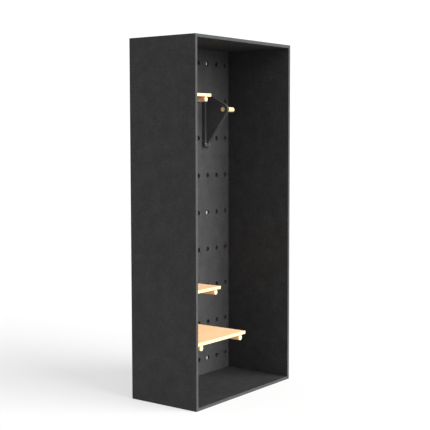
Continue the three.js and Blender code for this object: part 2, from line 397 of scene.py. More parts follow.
def clean(piece):
    """Merges doubled vertices and turns all faces outwards."""
    choose(piece)
    bpy.ops.object.mode_set(mode="EDIT")
    bpy.ops.mesh.select_all(action="SELECT")
    bpy.ops.mesh.remove_doubles(threshold=1e-6)
    bpy.ops.mesh.normals_make_consistent(inside=False)
    bpy.ops.object.mode_set(mode="OBJECT")


def turn(name, profile, sides=48):
    """A turned body on the Z axis, extruded ring by ring up a profile of (radius, height)."""
    (radius, height), *steps = profile
    bpy.ops.object.select_all(action="DESELECT")
    bpy.ops.mesh.primitive_circle_add(
        vertices=sides, radius=radius, fill_type="NGON", location=(0, 0, height)
    )
    piece = take_name(name)
    bpy.ops.object.mode_set(mode="EDIT")
    bpy.ops.mesh.select_mode(type="FACE")
    bpy.ops.mesh.select_all(action="SELECT")
    for next_radius, next_height in steps:
        rise = next_height - height
        grow = next_radius / radius
        bpy.ops.mesh.extrude_region_move(TRANSFORM_OT_translate={"value": (0, 0, rise)})
        bpy.ops.transform.resize(value=(grow, grow, 1), center_override=(0, 0, next_height))
        radius, height = next_radius, next_height
    bpy.ops.object.mode_set(mode="OBJECT")
    clean(piece)
    return piece


def stand(piece, start, direction):
    """Lays a body made up the Z axis so that it starts at a point and runs along a direction."""
    piece.rotation_euler = Vector(direction).to_track_quat("Z", "Y").to_euler()
    piece.location = start
    choose(piece)
    bpy.ops.object.transform_apply(location=True, rotation=True, scale=True)
    return piece


def copy_of(piece, name):
    """A copy of a piece with its own mesh."""
    choose(piece)
    bpy.ops.object.duplicate(linked=False)
    copy = bpy.context.active_object
    copy.name = name
    copy.data.name = name
    return copy


def use_modifier(piece, kind, **settings):
    """Adds a modifier with its settings and applies it."""
    choose(piece)
    bpy.ops.object.modifier_add(type=kind)
    modifier = piece.modifiers[-1]
    for setting, value in settings.items():
        setattr(modifier, setting, value)
    bpy.ops.object.modifier_apply(modifier=modifier.name)


def repeat(piece, count, step):
    """Repeats a piece along a step."""
    use_modifier(
        piece,
        "ARRAY",
        count=count,
        use_relative_offset=False,
        use_constant_offset=True,
        constant_offset_displace=step,
    )


def combine(piece, others, operation="DIFFERENCE"):
    """Cuts other bodies out of a piece, or joins them to it, and removes them."""
    if len(others) > 1:
        choose(*others)
        bpy.ops.object.join()
    tool = others[0]
    use_modifier(piece, "BOOLEAN", operation=operation, solver="EXACT", object=tool)
    bpy.data.objects.remove(tool)


def smooth(piece, angle=math.radians(35)):
    """Smooths the round parts of a piece and keeps its flats flat."""
    choose(piece)
    bpy.ops.object.shade_smooth_by_angle(angle=angle)
    use_modifier(piece, "WEIGHTED_NORMAL", keep_sharp=True, weight=100)


BORE_OVERSHOOT = 0.5 * MM  # how far a cutter stands out of the face it enters


def bore(start, direction, radius, depth, flare=0.0, through=False, sides=48):
    """A cutter for a round bore with a flared mouth, and a flared exit where it goes through."""
    mouth = radius + flare + BORE_OVERSHOOT
    profile = [(mouth, -BORE_OVERSHOOT), (radius, flare)]
    if through:
        profile += [(radius, depth - flare), (mouth, depth + BORE_OVERSHOOT)]
    else:
        profile += [(radius, depth)]
    return stand(turn("bore", profile, sides), start, direction)


def settle(piece, node, slot, *materials):
    """Gives a finished piece its materials and its body, in place of its CAD node. The slot is not
    used.
    """
    for material in materials:
        piece.data.materials.append(material)
    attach(piece, BODY_OF[node])
    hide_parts(node)


FACE_COSINE = 0.98  # a face turned further than this from the board's own is an edge


def mark_edges(piece, axis):
    """Puts the second material on all that doesn't face along the board's thickness."""
    for polygon in piece.data.polygons:
        is_face = abs(polygon.normal[axis]) > FACE_COSINE
        polygon.material_index = 0 if is_face else 1


# ---------- materials ----------


class Finish:
    """A material that is being mixed from shader nodes."""

    def __init__(self, name):
        self.material = bpy.data.materials.new(name)
        self.material.use_nodes = True
        self.tree = self.material.node_tree
        self.tree.nodes.clear()

    def node(self, kind, inputs, **settings):
        """A node with its settings, and its inputs as values or as sockets to link."""
        node = self.tree.nodes.new(kind)
        for setting, value in settings.items():
            setattr(node, setting, value)
        for key, value in inputs.items():
            socket = next(s for s in node.inputs if key in (s.name, s.identifier) and s.enabled)
            if isinstance(value, bpy.types.NodeSocket):
                self.tree.links.new(value, socket)
            else:
                socket.default_value = value
        return node

    def place(self):
        """The place on the object, in metres."""
        return self.node("ShaderNodeTexCoord", {}).outputs["Object"]

    def stretch(self, vector, scale, shift=(0, 0, 0)):
        """A vector scaled along its axes and shifted."""
        scaled = self.node("ShaderNodeMapping", {"Vector": vector, "Scale": scale})
        scaled.inputs["Location"].default_value = shift
        return scaled.outputs["Vector"]

    def noise(self, vector, scale, detail=2.0, roughness=0.5):
        """Noise from 0 to 1."""
        inputs = {"Vector": vector, "Scale": scale, "Detail": detail, "Roughness": roughness}
        return self.node("ShaderNodeTexNoise", inputs).outputs["Fac"]

    def math(self, operation, *values):
        """The result of a Math node."""
        inputs = dict(zip(("Value", "Value_001"), values))
        return self.node("ShaderNodeMath", inputs, operation=operation).outputs["Value"]

    def spread(self, value, low, high, to_low, to_high):
        """A value mapped from one range to another, and kept in it."""
        inputs = {
            "Value": value,
            "From Min": low,
            "From Max": high,
            "To Min": to_low,
            "To Max": to_high,
        }
        return self.node("ShaderNodeMapRange", inputs).outputs["Result"]

    def mix(self, share, first, second, blend="MIX"):
        """Two colours mixed."""
        inputs = {"Factor_Float": share, "A_Color": first, "B_Color": second}
        node = self.node("ShaderNodeMix", inputs, data_type="RGBA", blend_type=blend)
        return next(s for s in node.outputs if s.identifier == "Result_Color")

    def tint(self, colour, value, low, high, dark, light):
        """A colour multiplied by dark where a value is low, and by light where it is high."""
        share = self.spread(value, low, high, 0, 1)
        return self.mix(1.0, colour, self.mix(share, dark, light), "MULTIPLY")

    def bump(self, height, depth, strength=1.0, under=None):
        """A surface normal raised by a height, over another one."""
        inputs = {"Height": height, "Distance": depth, "Strength": strength}
        if under is not None:
            inputs["Normal"] = under
        return self.node("ShaderNodeBump", inputs).outputs["Normal"]

    def close(self, **inputs):
        """Ends the material in one surface shader, with these inputs."""
        named = {key.replace("_", " "): value for key, value in inputs.items()}
        shader = self.node("ShaderNodeBsdfPrincipled", named)
        output = self.tree.nodes.new("ShaderNodeOutputMaterial")
        self.tree.links.new(shader.outputs["BSDF"], output.inputs["Surface"])
        return self.material


def shade(colour, factor):
    """A colour made lighter or darker, with its alpha."""
    return (*(min(1.0, part * factor) for part in colour), 1.0)


def grey(level, warmth=0.0):
    """A neutral colour, with a little more or less blue."""
    return (level, level, level - warmth, 1.0)


def board_face(name, colour):
    """Pressed face of dyed fibreboard: cloudy, with fine fibres and a few pale flecks."""
    mat = Finish(name)
    place = mat.place()
    cloud = mat.noise(place, 14, 4, 0.55)
    mottle = mat.noise(place, 95, 5, 0.62)
    fibre = mat.noise(mat.stretch(place, (1, 1, 0.35)), 900, 3, 0.6)
    crossed = mat.noise(mat.stretch(place, (0.35, 0.35, 1), (3, 1, 2)), 820, 3, 0.6)
    weave = mat.math("MULTIPLY", mat.math("ADD", fibre, crossed), 0.5)
    speck = mat.noise(mat.stretch(place, (1, 1, 1), (5, 5, 5)), 520, 1)
    tone = mat.mix(mat.spread(cloud, 0.3, 0.7, 0, 1), shade(colour, 0.84), shade(colour, 1.15))
    tone = mat.tint(tone, mottle, 0.32, 0.68, grey(0.70), grey(1.36, -0.01))
    tone = mat.tint(tone, weave, 0.36, 0.64, grey(0.72), grey(1.30, 0.01))
    tone = mat.mix(mat.spread(speck, 0.70, 0.80, 0, 0.5), tone, shade(colour, 4.2))
    rough = mat.spread(mottle, 0.3, 0.7, 0.62, 0.8)
    normal = mat.bump(weave, 0.12 * MM, 0.55)
    normal = mat.bump(cloud, 0.6 * MM, 0.25, normal)
    return mat.close(Base_Color=tone, Roughness=rough, Normal=normal, Specular_IOR_Level=0.22)


def board_edge(name, colour):
    """Sawn edge of dyed fibreboard: paler, with short open fibres."""
    mat = Finish(name)
    place = mat.place()
    cloud = mat.noise(place, 22, 3, 0.55)
    fuzz = mat.noise(place, 1300, 4, 0.7)
    streak = mat.noise(mat.stretch(place, (1, 1, 0.12), (2, 7, 1)), 700, 3, 0.6)
    tone = mat.mix(mat.spread(cloud, 0.3, 0.7, 0, 1), shade(colour, 0.86), shade(colour, 1.12))
    tone = mat.tint(tone, fuzz, 0.34, 0.66, grey(0.70), grey(1.32, 0.01))
    tone = mat.tint(tone, streak, 0.35, 0.65, grey(0.9), grey(1.1))
    rough = mat.spread(fuzz, 0.3, 0.7, 0.7, 0.9)
    normal = mat.bump(fuzz, 0.15 * MM, 0.6)
    return mat.close(Base_Color=tone, Roughness=rough, Normal=normal, Specular_IOR_Level=0.25)


GRAIN = "grain"  # a piece's own coordinates: along the grain, then across it twice


def lay_grain(piece, origin, along, across):
    """Stores each vertex's place along and across the grain, measured from a point."""
    origin = Vector(origin)
    third = Vector(along).cross(Vector(across))
    attribute = piece.data.attributes.new(GRAIN, "FLOAT_VECTOR", "POINT")
    for vertex, stored in zip(piece.data.vertices, attribute.data):
        offset = vertex.co - origin
        stored.vector = (offset.dot(along), offset.dot(across), offset.dot(third))


def growth_rings(mat, wood, own, across, up, picked, pith_offset):
    """How far out in its growth ring each place lies, from 0 to 1, round each stave's own pith."""
    warp = mat.noise(mat.stretch(own, (2.2, 16, 16)), 1, 3, 0.5)
    slow = mat.noise(mat.stretch(own, (1.1, 5, 5), (4, 2, 9)), 1, 2, 0.5)
    pith_y = mat.math("ADD", across, mat.spread(picked["Red"], 0, 1, -pith_offset, pith_offset))
    pith_z = mat.math("ADD", up, mat.spread(picked["Green"], 0, 1, 0.4 * pith_offset, pith_offset))
    square_y = mat.math("MULTIPLY", pith_y, pith_y)
    square_z = mat.math("MULTIPLY", pith_z, pith_z)
    radius = mat.math("SQRT", mat.math("ADD", square_y, square_z))
    for wander, amount in ((warp, 9 * MM), (slow, 16 * MM)):
        offset = mat.math("MULTIPLY", mat.math("SUBTRACT", wander, 0.5), amount)
        radius = mat.math("ADD", radius, offset)
    return mat.math("FRACT", mat.math("DIVIDE", radius, wood.ring_width))


STAVE_SHIFT = 3.7  # how far the pattern is shifted from one stave to the next


def solid_wood(name, wood, stave_width, pith_offset, light, dark):
    """Oiled solid wood, its growth rings running through the piece so that the ends show them."""
    mat = Finish(name)
    grain = mat.node("ShaderNodeAttribute", {}, attribute_name=GRAIN).outputs["Vector"]
    parts = mat.node("ShaderNodeSeparateXYZ", {"Vector": grain}).outputs
    along, across, up = parts["X"], parts["Y"], parts["Z"]
    stave = mat.math("FLOOR", mat.math("DIVIDE", across, stave_width))
    chance = mat.node("ShaderNodeTexWhiteNoise", {"W": stave}, noise_dimensions="1D")
    picked = mat.node("ShaderNodeSeparateColor", {"Color": chance.outputs["Color"]}).outputs
    own_up = mat.math("ADD", up, mat.math("MULTIPLY", stave, STAVE_SHIFT))
    own_place = {"X": along, "Y": across, "Z": own_up}
    own = mat.node("ShaderNodeCombineXYZ", own_place).outputs["Vector"]

    ring = growth_rings(mat, wood, own, across, up, picked, pith_offset)
    late = mat.math("POWER", ring, 2.6)
    streak = mat.noise(mat.stretch(own, (9, 620, 620)), 1, 3, 0.6)
    pore = mat.noise(mat.stretch(own, (70, 1900, 1900), (1, 5, 3)), 1, 1, 0.5)
    early_tone = shade(wood.early_colour, light)
    late_tone = shade(wood.late_colour, light)
    tone = mat.mix(mat.math("MULTIPLY", late, 0.62), early_tone, late_tone)
    tone = mat.tint(tone, streak, 0.35, 0.65, (0.955, 0.945, 0.93, 1), (1.035, 1.04, 1.045, 1))
    tone = mat.tint(tone, picked["Blue"], 0, 1, (0.955, 0.94, 0.915, 1), (1.02, 1.015, 1.01, 1))
    tone = mat.mix(mat.spread(pore, 0.66, 0.76, 0, 0.35), tone, shade(wood.late_colour, dark))
    rough = mat.spread(streak, 0.3, 0.7, 0.42, 0.56)
    normal = mat.bump(streak, 0.05 * MM, 0.5)
    normal = mat.bump(late, 0.04 * MM, 0.4, normal)
    return mat.close(Base_Color=tone, Roughness=rough, Normal=normal, Specular_IOR_Level=0.4)


def zinc_plate(name, colour):
    """Matt zinc plate: faintly clouded, with a fine grit."""
    mat = Finish(name)
    place = mat.place()
    cloud = mat.noise(place, 260, 3, 0.6)
    grit = mat.noise(place, 4200, 2, 0.6)
    tone = mat.mix(mat.spread(cloud, 0.3, 0.7, 0, 1), shade(colour, 0.86), shade(colour, 1.12))
    warm = mat.mix(mat.spread(cloud, 0.45, 0.75, 0, 0.5), grey(1.0), (1.04, 1.0, 0.92, 1))
    tone = mat.mix(1.0, tone, warm, "MULTIPLY")
    rough = mat.spread(grit, 0.3, 0.7, 0.48, 0.66)
    normal = mat.bump(grit, 0.02 * MM, 0.4)
    return mat.close(Base_Color=tone, Roughness=rough, Normal=normal, Metallic=0.85)


def floor_paint(name, colour, glow):
    """Plain pale floor with the faintest unevenness, and a little light of its own."""
    mat = Finish(name)
    cloud = mat.noise(mat.place(), 0.6, 3, 0.5)
    tone = mat.mix(mat.spread(cloud, 0.3, 0.7, 0, 1), shade(colour, 0.992), shade(colour, 1.008))
    return mat.close(
        Base_Color=tone,
        Roughness=0.9,
        Specular_IOR_Level=0.0,
        Emission_Color=(1, 1, 1, 1),
        Emission_Strength=glow,
    )


def finish_named(name, maker, *details):
    """The material of this name, made the first time it is asked for."""
    return bpy.data.materials.get(name) or maker(name, *details)


def dark_face(scene):
    """The pressed face of the cabinet's boards."""
    return finish_named("dyed_board_face", board_face, scene.rack_boards.face_colour)


def dark_edge(scene):
    """The sawn edge of all the boards."""
    return finish_named("dyed_board_edge", board_edge, scene.rack_boards.edge_colour)


def panel_face(scene):
    """The face of the peg panel and of the bracket's wall plate."""
    return finish_named("peg_panel_face", board_face, scene.rack_boards.panel_colour)


def gusset_face(scene):
    """The face of the bracket's gusset, made lighter than the rest of the same board to paint in
    light from the front left.
    """
    return finish_named("gusset_face", board_face, scene.rack_boards.gusset_painted_light_colour)


def zinc(scene):
    """The plating of the wall fixings and corner fittings."""
    return finish_named("zinc_plate", zinc_plate, scene.rack_fittings.zinc_colour)


def dull_steel(scene):
    """The dull steel of the bracket's screws."""
    return finish_named("dull_steel", zinc_plate, scene.rack_fittings.screw_colour)


# ---------- fittings' bores, shared by the boards they pass through ----------


def fitting_names(hand=None, level=None):
    """Names of the corner fittings in one side board or in one level's board."""
    return [
        f"{own_level}_{own_hand}_{place}"
        for own_level in LEVELS
        for own_hand in HANDS
        for place in PLACES
        if hand in (None, own_hand) and level in (None, own_level)
    ]


BOLT_THREAD_RADIUS = 2.5 * MM
SCREW_SHANK = 2.25 * MM
SCREW_CONE = 2.6 * MM
WALL_SHANK_RADIUS = 3 * MM


def thread_bores(hand, boards):
    """Cutters for the bolts' threaded ends in one side board."""
    sign = -1 if hand == "left" else 1
    face = middle(f"side_{hand}").x - sign * reach(f"side_{hand}").x / 2
    cutters = []
    for name in fitting_names(hand=hand):
        low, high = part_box(f"cam_bolt_{name}")
        tip = low.x if sign < 0 else high.x
        centre = middle(f"cam_bolt_{name}")
        depth = abs(tip - face) + boards.clearance
        radius = BOLT_THREAD_RADIUS + boards.clearance
        start = (face, centre.y, centre.z)
        cutters.append(bore(start, (sign, 0, 0), radius, depth, boards.bore_flare, sides=32))
    return cutters


def dowel_bores(hand, boards, face, direction, reach_to):
    """Cutters for the joint dowels in the face they enter, as deep as the dowel goes."""
    cutters = []
    for row in HEIGHTS:
        node = f"panel_dowel_{hand}_{row}"
        centre = middle(node)
        radius = reach(node).y / 2 + boards.clearance
        depth = abs(reach_to(node) - face) + boards.clearance
        start = (face, centre.y, centre.z)
        cutters.append(bore(start, direction, radius, depth, boards.bore_flare, sides=32))
    return cutters


# ---------- operators: the cabinet ----------


class RACK_OT_side_boards(bpy.types.Operator):
    """Builds the two side boards, with the bores for their bolts and dowels"""

    bl_idname = "rack.side_boards"
    bl_label = "Side boards"

    def execute(self, context):
        boards = context.scene.rack_boards
        for hand in HANDS:
            node = f"side_{hand}"
            sign = -1 if hand == "left" else 1
            low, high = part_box(node)
            face = high.x if sign < 0 else low.x
            piece = block(f"{node}_finished", low, high)
            ease(piece, boards.arris)

            def outer_end(dowel, sign=sign):
                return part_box(dowel)[0].x if sign < 0 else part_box(dowel)[1].x

            cutters = thread_bores(hand, boards)
            cutters += dowel_bores(hand, boards, face, (sign, 0, 0), outer_end)
            combine(piece, cutters)
            smooth(piece)
            mark_edges(piece, 0)
            settle(piece, node, "dark_board", dark_face(context.scene), dark_edge(context.scene))
        return {"FINISHED"}


class RACK_OT_top_and_bottom(bpy.types.Operator):
    """Builds the top and bottom boards, with the bores for their cams and bolts"""

    bl_idname = "rack.top_and_bottom"
    bl_label = "Top and bottom boards"

    def execute(self, context):
        boards = context.scene.rack_boards
        for level in LEVELS:
            node = f"{level}_board"
            inward = -1 if level == "top" else 1
            low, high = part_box(node)
            outer = high.z if level == "top" else low.z
            piece = block(f"{node}_finished", low, high)
            ease(piece, boards.arris)
            cutters = []
            for name in fitting_names(level=level):
                sign = -1 if "left" in name else 1
                cam = middle(f"cam_{name}")
                cam_size = reach(f"cam_{name}")
                bolt = middle(f"cam_bolt_{name}")
                bolt_low, bolt_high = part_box(f"cam_bolt_{name}")
                head_end = bolt_high.x if sign < 0 else bolt_low.x
                end = low.x if sign < 0 else high.x
                cam_start = (cam.x, cam.y, outer)
                cam_radius = cam_size.x / 2 + boards.clearance
                cam_depth = cam_size.z + boards.clearance
                run = (0, 0, inward)
                cutters.append(bore(cam_start, run, cam_radius, cam_depth, boards.bore_flare))
                bolt_radius = reach(f"cam_bolt_{name}").z / 2 + boards.clearance
                bolt_depth = abs(head_end - end) + boards.clearance
                cutters.append(
                    bore((end, bolt.y, bolt.z), (-sign, 0, 0), bolt_radius, bolt_depth, sides=32)
                )
            for cutter in cutters:
                combine(piece, [cutter])
            smooth(piece)
            mark_edges(piece, 2)
            settle(piece, node, "dark_board", dark_face(context.scene), dark_edge(context.scene))
        return {"FINISHED"}


class RACK_OT_peg_panel(bpy.types.Operator):
    """Builds the peg panel, with all its peg holes and the bores for its screws and dowels"""

    bl_idname = "rack.peg_panel"
    bl_label = "Peg panel"

    def execute(self, context):
        boards = context.scene.rack_boards
        node = "peg_panel"
        low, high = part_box(node)
        thickness = high.y - low.y
        piece = block(f"{node}_finished", low, high)
        ease(piece, boards.arris)

        first = Vector((
            -(boards.columns - 1) / 2 * COLUMN_PITCH,
            low.y,
            middle("lower_peg_left").z - ROW_PITCH,
        ))
        hole_radius = PEG_RADIUS + boards.clearance
        holes = bore(first, (0, 1, 0), hole_radius, thickness, boards.peg_hole_flare, through=True)
        repeat(holes, boards.columns, (COLUMN_PITCH, 0, 0))
        repeat(holes, boards.rows, (0, 0, ROW_PITCH))
        combine(piece, [holes])

        cutters = []
        for hand in HANDS:
            sign = -1 if hand == "left" else 1
            end = low.x if sign < 0 else high.x

            def inner_end(dowel, sign=sign):
                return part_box(dowel)[1].x if sign < 0 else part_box(dowel)[0].x

            cutters += dowel_bores(hand, boards, end, (-sign, 0, 0), inner_end)
            for height in HEIGHTS:
                screw = f"plate_screw_{hand}_{height}"
                start = (middle(screw).x, low.y, middle(screw).z)
                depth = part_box(screw)[1].y - low.y + boards.clearance
                radius = SCREW_SHANK + boards.clearance
                cutters.append(bore(start, (0, 1, 0), radius, depth, boards.bore_flare, sides=24))
        combine(piece, cutters)
        smooth(piece)
        mark_edges(piece, 1)
        settle(piece, node, "peg_panel_board", panel_face(context.scene), dark_edge(context.scene))
        return {"FINISHED"}


class RACK_OT_back_sheet(bpy.types.Operator):
    """Builds the thin back sheet, with the holes for the wall screws"""

    bl_idname = "rack.back_sheet"
    bl_label = "Back sheet"

    def execute(self, context):
        boards = context.scene.rack_boards
        node = "back_sheet"
        low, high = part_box(node)
        piece = block(f"{node}_finished", low, high)
        ease(piece, boards.arris / 2, segments=2)
        cutters = []
        for hand in HANDS:
            for row in WALL_ROWS:
                washer = f"wall_washer_{hand}_{row}"
                start = (middle(washer).x, low.y, middle(washer).z)
                radius = WALL_SHANK_RADIUS + boards.clearance
                cutters.append(
                    bore(start, (0, 1, 0), radius, high.y - low.y, through=True, sides=32)
                )
        combine(piece, cutters)
        smooth(piece)
        mark_edges(piece, 1)
        settle(piece, node, "dark_board", dark_face(context.scene), dark_edge(context.scene))
        return {"FINISHED"}


# ---------- operators: the wheel bracket ----------


def countersink(start, direction, head, length, clearance):
    """A cutter for a countersunk screw."""
    shank = SCREW_SHANK + clearance
    profile = [
        (head + clearance + BORE_OVERSHOOT, -BORE_OVERSHOOT),
        (head + clearance, 0),
        (head + clearance, clearance),
        (shank, SCREW_CONE + clearance),
        (shank, length + clearance),
    ]
    return stand(turn("countersink", profile), start, direction)


def gusset_screw_cutter(height, boards):
    """A cutter for one of the two screws that run from the plate's back into the gusset."""
    node = f"gusset_screw_{height}"
    low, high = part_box(node)
    centre = middle(node)
    start = (centre.x, high.y, centre.z)
    head = (high.x - low.x) / 2
    return countersink(start, (0, -1, 0), head, high.y - low.y, boards.clearance)


class RACK_OT_bracket_plate(bpy.types.Operator):
    """Builds the bracket's wall plate, with its countersunk screw holes"""

    bl_idname = "rack.bracket_plate"
    bl_label = "Bracket plate"

    def execute(self, context):
        boards = context.scene.rack_boards
        node = "bracket_plate"
        low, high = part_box(node)
        piece = block(f"{node}_finished", low, high)
        ease(piece, boards.arris)
        cutters = [gusset_screw_cutter(height, boards) for height in HEIGHTS]
        for hand in HANDS:
            for height in HEIGHTS:
                screw = f"plate_screw_{hand}_{height}"
                screw_low, screw_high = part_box(screw)
                start = (middle(screw).x, screw_low.y, middle(screw).z)
                head = (screw_high.x - screw_low.x) / 2
                length = screw_high.y - screw_low.y
                cutters.append(countersink(start, (0, 1, 0), head, length, boards.clearance))
        combine(piece, cutters)
        smooth(piece)
        mark_edges(piece, 1)
        settle(piece, node, "peg_panel_board", panel_face(context.scene), dark_edge(context.scene))
        return {"FINISHED"}


NOSE_SIDES = 120


class RACK_OT_bracket_gusset(bpy.types.Operator):
    """Builds the bracket's gusset: two straight edges that run into a round nose"""

    bl_idname = "rack.bracket_gusset"
    bl_label = "Bracket gusset"

    def execute(self, context):
        boards = context.scene.rack_boards
        node = "bracket_gusset"
        low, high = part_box(node)
        peg = middle("wheel_peg")
        nose_radius = peg.y - low.y
        corners = (Vector((low.x, high.y, high.z)), Vector((low.x, high.y, low.z)))
        centre = Vector((low.x, peg.y, peg.z))

        bpy.ops.object.select_all(action="DESELECT")
        bpy.ops.mesh.primitive_circle_add(
            vertices=NOSE_SIDES,
            radius=nose_radius,
            fill_type="NOTHING",
            location=centre,
            rotation=(0, math.pi / 2, 0),
        )
        piece = take_name(f"{node}_finished")

        def inside_outline(vertex):
            arm = vertex.co - centre
            return any(arm.dot(corner - centre) > nose_radius**2 for corner in corners)

        bpy.ops.object.mode_set(mode="EDIT")
        pick(piece, "VERT", inside_outline)
        bpy.ops.mesh.delete(type="VERT")
        for corner, side in zip(corners, (1, -1)):
            ends = [
                v for v in bmesh.from_edit_mesh(piece.data).verts if len(v.link_edges) == 1
            ]
            end = max(ends, key=lambda v: v.co.z * side)
            place = end.co.copy()
            pick(piece, "VERT", lambda v, place=place: (v.co - place).length < 1e-7)
            bpy.ops.mesh.extrude_vertices_move(
                TRANSFORM_OT_translate={"value": corner - place}
            )
        bpy.ops.mesh.select_all(action="SELECT")
        bpy.ops.mesh.edge_face_add()
        bpy.ops.mesh.extrude_region_move(
            TRANSFORM_OT_translate={"value": (high.x - low.x, 0, 0)}
        )
        bpy.ops.object.mode_set(mode="OBJECT")
        clean(piece)

        def is_rim(edge):
            straight = abs(edge.verts[0].co.x - edge.verts[1].co.x) < 1e-7
            at_corner = edge.calc_face_angle() > math.radians(20)
            return straight or at_corner

        ease(piece, boards.arris, test=is_rim)
        hole_start = (low.x, peg.y, peg.z)
        hole_radius = PEG_RADIUS + boards.clearance
        thickness = high.x - low.x
        flare = boards.peg_hole_flare / 2
        cutters = [bore(hole_start, (1, 0, 0), hole_radius, thickness, flare, through=True)]
        cutters += [gusset_screw_cutter(height, boards) for height in HEIGHTS]
        combine(piece, cutters)
        smooth(piece)
        mark_edges(piece, 0)
        # The gusset's lighter face colour is painted light from the front left.
        settle(piece, node, "peg_panel_board", gusset_face(context.scene), panel_face(context.scene))
        return {"FINISHED"}


# ---------- operators: shelves and pegs ----------


PITH_FROM_STAVE = 75 * MM  # how far the heart of the tree lies from a shelf's stave
SHELF_GRAIN_STEP = Vector((1.3, 0.011, 0.004))  # from one shelf's stretch of grain to the next's


class RACK_OT_shelves(bpy.types.Operator):
    """Builds the three loose shelves of glued staves"""

    bl_idname = "rack.shelves"
    bl_label = "Shelves"

    def execute(self, context):
        wood = context.scene.rack_wood
        details = (wood, wood.stave_width, PITH_FROM_STAVE, 1.0, 0.62)
        staves = finish_named("shelf_staves", solid_wood, *details)
        for index, shelf in enumerate(SHELVES):
            node = f"{shelf}_shelf"
            low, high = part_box(node)
            piece = block(f"{node}_finished", low, high)
            ease(piece, wood.shelf_arris, segments=4)
            smooth(piece)
            origin = low - SHELF_GRAIN_STEP * (index + 1)
            lay_grain(piece, origin, AXES[0], AXES[1])
            settle(piece, node, "shelf_wood", staves)
        return {"FINISHED"}


PEG_SIDES = 72


def round_peg(name, node, axis, wood):
    """A peg along an axis of the frame, its ends rounded."""
    size = reach(node)
    direction = AXES[axis]
    bpy.ops.object.select_all(action="DESELECT")
    bpy.ops.mesh.primitive_cylinder_add(
        vertices=PEG_SIDES,
        radius=PEG_RADIUS,
        depth=size[axis],
        end_fill_type="NGON",
        location=middle(node),
        rotation=direction.to_track_quat("Z", "Y").to_euler(),
    )
    piece = take_name(name)
    low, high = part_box(node)

    def is_end_rim(edge):
        ends = [vertex.co[axis] for vertex in edge.verts]
        return any(max(abs(e - limit) for e in ends) < 1e-6 for limit in (low[axis], high[axis]))

    ease(piece, wood.peg_rounding, segments=5, test=is_end_rim)
    smooth(piece)
    return piece


ONE_STAVE = 10.0  # a stave width that no peg or dowel spans, so that each is one piece of wood
PITH_FROM_AXIS = 9 * MM  # how far a peg's own axis lies from the heart of its tree
PEG_TWIST = 1.1  # turn of the grain from one peg to the next, in radians
PEG_GRAIN_STEP = 0.9  # from one peg's stretch of grain to the next's


class RACK_OT_pegs(bpy.types.Operator):
    """Builds the six shelf pegs and the wheel peg"""

    bl_idname = "rack.pegs"
    bl_label = "Pegs"

    def execute(self, context):
        wood = context.scene.rack_wood
        dowel = finish_named("peg_dowel", solid_wood, wood, ONE_STAVE, PITH_FROM_AXIS, 1.04, 0.6)
        nodes = [(f"{shelf}_peg_{hand}", 1) for shelf in SHELVES for hand in HANDS]
        nodes.append(("wheel_peg", 0))
        for index, (node, axis) in enumerate(nodes):
            piece = round_peg(f"{node}_finished", node, axis, wood)
            across = AXES[2].copy()
            across.rotate(Euler(AXES[axis] * PEG_TWIST * index))
            origin = middle(node) - AXES[axis] * PEG_GRAIN_STEP * (index + 1)
            lay_grain(piece, origin, AXES[axis], across)
            settle(piece, node, "peg_wood", dowel)
        return {"FINISHED"}


FLUTE_WIDTH = 0.4  # of a glue flute, as a part of the distance from one to the next
FLUTE_FLOOR = 0.93  # radius at the bottom of a flute, as a part of the dowel's
DOWEL_GRAIN_START = 0.2  # where the first dowel's grain starts; each further dowel's is 1 m on


class RACK_OT_panel_dowels(bpy.types.Operator):
    """Builds the fluted dowels between the peg panel and the sides"""

    bl_idname = "rack.panel_dowels"
    bl_label = "Panel dowels"

    def execute(self, context):
        wood = context.scene.rack_wood
        details = (wood, ONE_STAVE, PITH_FROM_AXIS, 0.74, 0.5)
        plain = finish_named("joint_dowel", solid_wood, *details)
        for index, (hand, row) in enumerate((h, r) for h in HANDS for r in HEIGHTS):
            node = f"panel_dowel_{hand}_{row}"
            start = (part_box(node)[0].x, middle(node).y, middle(node).z)
            size = reach(node)
            radius = size.z / 2
            length = size.x
            tip = radius * 0.82
            chamfer = radius * 0.25
            profile = [(tip, 0), (radius, chamfer), (radius, length - chamfer), (tip, length)]
            piece = turn(f"{node}_finished", profile, sides=wood.dowel_flutes * 4)
            choose(piece)
            bpy.ops.object.mode_set(mode="EDIT")

            def in_flute(vertex):
                turns = math.atan2(vertex.co.y, vertex.co.x) / math.tau * wood.dowel_flutes
                near = abs(turns - round(turns)) < FLUTE_WIDTH / 2
                return near and vertex.co.to_2d().length > radius * 0.9

            pick(piece, "VERT", in_flute)
            shrink = (FLUTE_FLOOR, FLUTE_FLOOR, 1)
            bpy.ops.transform.resize(value=shrink, center_override=(0, 0, 0))
            bpy.ops.object.mode_set(mode="OBJECT")
            stand(piece, start, (1, 0, 0))
            smooth(piece)
            origin = middle(node) - AXES[0] * (DOWEL_GRAIN_START + index)
            lay_grain(piece, origin, AXES[0], AXES[2])
            settle(piece, node, "beech_dowel", plain)
        return {"FINISHED"}


# ---------- operators: metal fittings ----------


THREAD_ROOT = 0.62  # width of a thread at its root, as a part of its pitch
THREAD_CREST = 0.14  # and at its crest
THREAD_STEPS = 24
THREAD_SUNK = 0.15 * MM  # how deep a thread's root sits in the core


